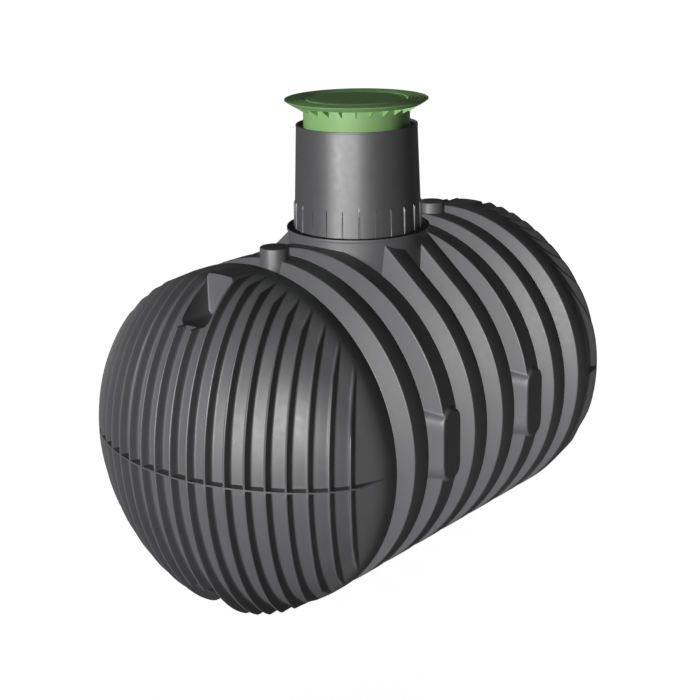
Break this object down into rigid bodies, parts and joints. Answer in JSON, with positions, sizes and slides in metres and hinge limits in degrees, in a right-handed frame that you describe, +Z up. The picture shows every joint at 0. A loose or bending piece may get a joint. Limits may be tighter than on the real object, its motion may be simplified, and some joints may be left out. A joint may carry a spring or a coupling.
{
  "type": "underground water tank",
  "caption": "Ribbed plastic barrel tank with domed ends, feet, a neck, a conical access shaft and a height-adjustable round cover.",
  "frame": {"origin": "on the ground under the neck, at the middle of the tank's length and width", "axes": "+Z up along the neck and the cover's slide, X along the barrel with the near end towards -X, Y across"},
  "size_m": [3.509, 2.04, 2.866],
  "materials": {
    "tank_plastic": "moulded matt black-grey",
    "shaft_plastic": "moulded satin grey",
    "seal_rubber": "matt black rubber",
    "cover_plastic": "moulded satin green",
    "lid_plastic": "moulded dark green"
  },
  "bodies": {
    "tank": {"far_end_lower": "tank_plastic", "far_end_upper": "tank_plastic", "far_pipe_stub": "tank_plastic", "far_seam_flange": "tank_plastic", "guide_seal": "seal_rubber", "hoop_1_lower": "tank_plastic", "hoop_1_upper": "tank_plastic", "hoop_2_lower": "tank_plastic", "hoop_2_upper": "tank_plastic", "hoop_3_lower": "tank_plastic", "hoop_3_upper": "tank_plastic", "hoop_4_lower": "tank_plastic", "hoop_4_upper": "tank_plastic", "hoop_5_lower": "tank_plastic", "hoop_5_upper": "tank_plastic", "hoop_6_lower": "tank_plastic", "hoop_6_upper": "tank_plastic", "near_end_lower": "tank_plastic", "near_end_upper": "tank_plastic", "near_pipe_stub": "tank_plastic", "near_seam_flange": "tank_plastic", "neck_collar": "tank_plastic", "neck_tower": "tank_plastic", "shaft_rim": "shaft_plastic", "shaft_seal": "seal_rubber", "shaft_tube": "shaft_plastic"},
    "cover": {"cover_frame": "cover_plastic", "cover_lid": "lid_plastic"}
  },
  "joints": [
    {"name": "cover_height", "type": "slide", "parent": "tank", "child": "cover", "axis": [0, 0, 1], "range_m": [-0.015, 0.185]}
  ]
}
